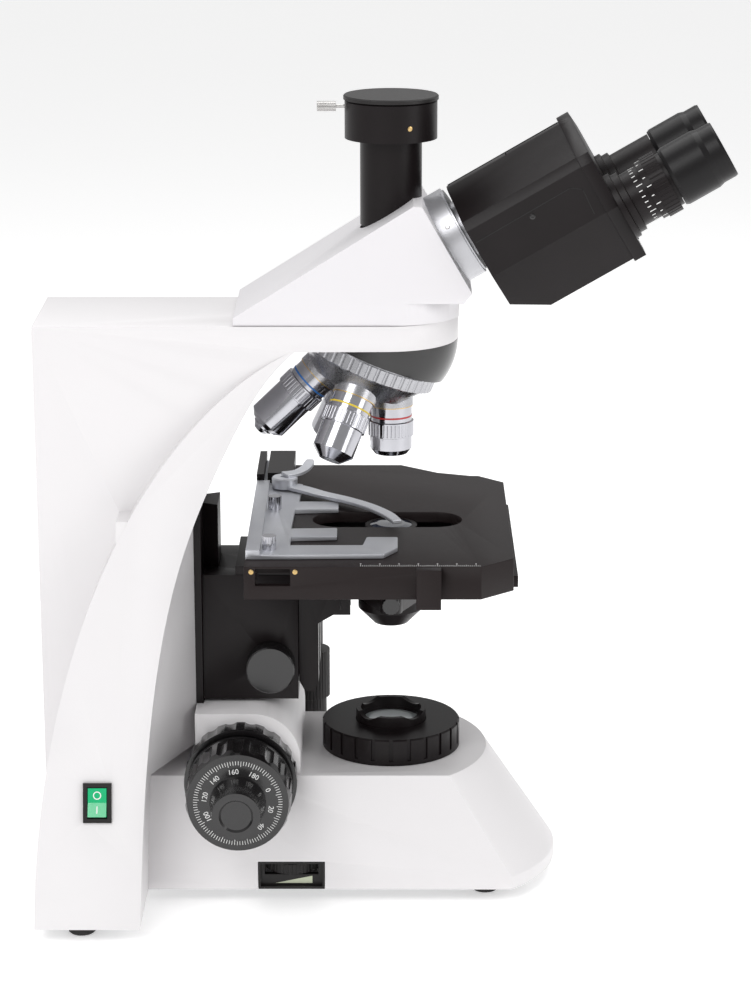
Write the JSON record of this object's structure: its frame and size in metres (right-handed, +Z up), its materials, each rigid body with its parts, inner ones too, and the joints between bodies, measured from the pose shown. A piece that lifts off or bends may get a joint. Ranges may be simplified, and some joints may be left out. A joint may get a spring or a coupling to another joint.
{
  "type": "trinocular compound microscope",
  "caption": "Upright laboratory microscope with an inclined twin-eyepiece head, vertical camera tube, tilted objective turret, mechanical stage, condenser and coaxial focus knobs.",
  "frame": {"origin": "on the table under the middle of the whole instrument", "axes": "+X towards the user and the eyepieces, +Y to the user's right, +Z up"},
  "size_m": [0.3706, 0.238, 0.4347],
  "materials": {
    "white_paint": "satin powder coat",
    "head_paint": "satin powder coat",
    "black_paint": "satin",
    "stage_paint": "semi-gloss",
    "gloss_plastic": "polished",
    "matte_plastic": "fine texture",
    "satin_steel": "satin",
    "chrome": "polished",
    "holder_steel": "satin dark",
    "brass": "machined",
    "rubber": "matte",
    "glass": "coated",
    "frosted_glass": "ground",
    "mirror": "front surface",
    "green_plastic": "translucent",
    "sheet_steel": "matte",
    "circuit_board": "solder mask",
    "lamp_parts": "ceramic"
  },
  "bodies": {
    "stand": {"arm_casting": "white_paint", "base_casting": "white_paint", "bottom_plates": "sheet_steel", "rubber_feet": "rubber", "power_inlet": "matte_plastic", "switch_frame": "matte_plastic", "dimmer_bezel": "matte_plastic", "power_board": "circuit_board", "lamp": "lamp_parts", "folding_mirror": "mirror", "field_lens_ring": "black_paint", "field_lens": "frosted_glass", "focus_guide_rail": "black_paint", "nosepiece_housing": "black_paint", "turret_pivot": "satin_steel"},
    "power_switch": {"switch_rocker": "green_plastic"},
    "dimmer": {"dimmer_wheel": "matte_plastic"},
    "field_diaphragm": {"field_diaphragm_ring": "black_paint"},
    "coarse_drive": {"coarse_shaft": "satin_steel", "coarse_knobs": "gloss_plastic"},
    "fine_drive": {"fine_shaft": "satin_steel", "fine_knobs": "gloss_plastic"},
    "focus_carriage": {"focus_block": "black_paint", "focus_rack": "brass", "stage_bracket": "black_paint", "stage_base_plate": "black_paint", "stage_drive_housing": "black_paint"},
    "condenser": {"condenser_carrier": "black_paint", "condenser_body": "black_paint", "condenser_lens": "glass"},
    "condenser_clamp": {"condenser_clamp": "satin_steel"},
    "aperture_diaphragm": {"iris_ring": "black_paint"},
    "condenser_drive": {"condenser_knob": "matte_plastic"},
    "stage_plate": {"stage_top_plate": "stage_paint"},
    "stage_upper_drive": {"stage_upper_knob": "matte_plastic"},
    "stage_lower_drive": {"stage_lower_knob": "matte_plastic"},
    "holder_carriage": {"slide_holder": "holder_steel", "guide_bars": "black_paint", "holder_screws": "chrome"},
    "slide_clip": {"spring_clip": "holder_steel"},
    "turret": {"turret": "satin_steel", "objective_4x": "chrome", "objective_10x": "chrome", "objective_40x": "chrome", "objective_100x": "chrome"},
    "tip_40x": {"nose_40x": "chrome"},
    "tip_100x": {"nose_100x": "chrome"},
    "head": {"head_housing": "head_paint", "flange_ring": "satin_steel", "phototube": "black_paint", "camera_adapter": "black_paint"},
    "left_eye_half": {"left_prism_box": "black_paint", "left_tube": "black_paint", "left_eyepiece": "matte_plastic"},
    "right_eye_half": {"right_prism_box": "black_paint", "right_tube": "black_paint", "right_eyepiece": "matte_plastic"},
    "diopter": {"diopter_ring": "black_paint"},
    "dust_cap": {"dust_cap": "matte_plastic"},
    "adapter_screw": {"thumbscrew": "satin_steel"}
  },
  "joints": [
    {"name": "switch_rock", "type": "hinge", "parent": "stand", "child": "power_switch", "pos_m": [-0.14959, -0.09821, 0.0736], "axis": [1, 0, 0], "range_deg": [0, 16]},
    {"name": "dimmer_turn", "type": "hinge", "parent": "stand", "child": "dimmer", "pos_m": [-0.04889, -0.04289, 0.018], "axis": [0, 0, 1], "range_deg": [-135, 135]},
    {"name": "field_diaphragm_turn", "type": "hinge", "parent": "stand", "child": "field_diaphragm", "pos_m": [0.00541, -0.00299, 0.08], "axis": [0, 0, 1], "range_deg": [0, 90]},
    {"name": "focus_slide", "type": "slide", "parent": "stand", "child": "focus_carriage", "axis": [0, 0, 1], "range_m": [-0.0012, 0.0175]},
    {"name": "coarse_turn", "type": "hinge", "parent": "stand", "child": "coarse_drive", "pos_m": [-0.07539, -0.00299, 0.074], "axis": [0, 1, 0], "range_deg": [-15, 165]},
    {"name": "fine_turn", "type": "hinge", "parent": "stand", "child": "fine_drive", "pos_m": [-0.07539, -0.00299, 0.074], "axis": [0, 1, 0], "continuous": true},
    {"name": "condenser_slide", "type": "slide", "parent": "focus_carriage", "child": "condenser", "axis": [0, 0, 1], "range_m": [-0.018, 0.0005]},
    {"name": "condenser_knob_turn", "type": "hinge", "parent": "focus_carriage", "child": "condenser_drive", "pos_m": [-0.05989, -0.03299, 0.1285], "axis": [0, 1, 0], "range_deg": [-10, 215]},
    {"name": "condenser_clamp_turn", "type": "hinge", "parent": "condenser", "child": "condenser_clamp", "pos_m": [0.00541, -0.05299, 0.17], "axis": [0, 1, 0], "range_deg": [0, 180]},
    {"name": "aperture_turn", "type": "hinge", "parent": "condenser", "child": "aperture_diaphragm", "pos_m": [0.00541, -0.00299, 0.155], "axis": [0, 0, 1], "range_deg": [0, 34]},
    {"name": "stage_front_back", "type": "slide", "parent": "focus_carriage", "child": "stage_plate", "axis": [1, 0, 0], "range_m": [-0.017, 0.023]},
    {"name": "stage_upper_knob_turn", "type": "hinge", "parent": "focus_carriage", "child": "stage_upper_drive", "pos_m": [-0.04289, 0.10701, 0.12], "axis": [0, 0, 1], "range_deg": [-170, 230]},
    {"name": "stage_left_right", "type": "slide", "parent": "stage_plate", "child": "holder_carriage", "axis": [0, 1, 0], "range_m": [-0.025, 0.025]},
    {"name": "stage_lower_knob_turn", "type": "hinge", "parent": "focus_carriage", "child": "stage_lower_drive", "pos_m": [-0.04289, 0.10701, 0.06], "axis": [0, 0, 1], "range_deg": [-250, 250]},
    {"name": "clip_swing", "type": "hinge", "parent": "holder_carriage", "child": "slide_clip", "pos_m": [-0.05459, 0.05201, 0.206], "axis": [0, 0, 1], "range_deg": [0, 22], "stiffness_Nm_per_rad": 0.15, "springref_deg": -20.05},
    {"name": "turret_turn", "type": "hinge", "parent": "stand", "child": "turret", "pos_m": [-0.01022, -0.00299, 0.28538], "axis": [-0.3907, 0, -0.9205], "continuous": true},
    {"name": "tip_40x_retract", "type": "slide", "parent": "turret", "child": "tip_40x", "axis": [0.7193, 0, 0.6947], "range_m": [0, 0.004], "stiffness_N_per_m": 300, "springref_m": -0.003},
    {"name": "tip_100x_retract", "type": "slide", "parent": "turret", "child": "tip_100x", "axis": [0.3597, -0.3907, 0.8473], "range_m": [0, 0.004], "stiffness_N_per_m": 300, "springref_m": -0.003},
    {"name": "head_turn", "type": "hinge", "parent": "stand", "child": "head", "pos_m": [0.00541, -0.00299, 0.33], "axis": [0, 0, 1], "continuous": true},
    {"name": "left_eye_swing", "type": "hinge", "parent": "head", "child": "left_eye_half", "pos_m": [0.04491, -0.00299, 0.3631], "axis": [0.866, 0, 0.5], "range_deg": [-9, 12]},
    {"name": "right_eye_swing", "type": "hinge", "parent": "head", "child": "right_eye_half", "pos_m": [0.04491, -0.00299, 0.3631], "axis": [0.866, 0, 0.5], "range_deg": [-12, 9]},
    {"name": "diopter_turn", "type": "hinge", "parent": "left_eye_half", "child": "diopter", "pos_m": [0.14391, -0.03599, 0.39162], "axis": [0.866, 0, 0.5], "range_deg": [-150, 150]},
    {"name": "dust_cap_lift", "type": "slide", "parent": "head", "child": "dust_cap", "axis": [0, 0, 1], "range_m": [0, 0.02]},
    {"name": "adapter_screw_turn", "type": "hinge", "parent": "head", "child": "adapter_screw", "pos_m": [-0.02459, -0.00299, 0.4284], "axis": [1, 0, 0], "range_deg": [0, 180]}
  ],
  "couplings": [
    {"joint": "coarse_turn", "follows": "focus_slide", "rad_per_m": 158.73},
    {"joint": "condenser_knob_turn", "follows": "condenser_slide", "rad_per_m": -200},
    {"joint": "stage_upper_knob_turn", "follows": "stage_front_back", "rad_per_m": 166.67},
    {"joint": "stage_lower_knob_turn", "follows": "stage_left_right", "rad_per_m": 166.67},
    {"joint": "right_eye_swing", "follows": "left_eye_swing", "ratio": -1}
  ]
}
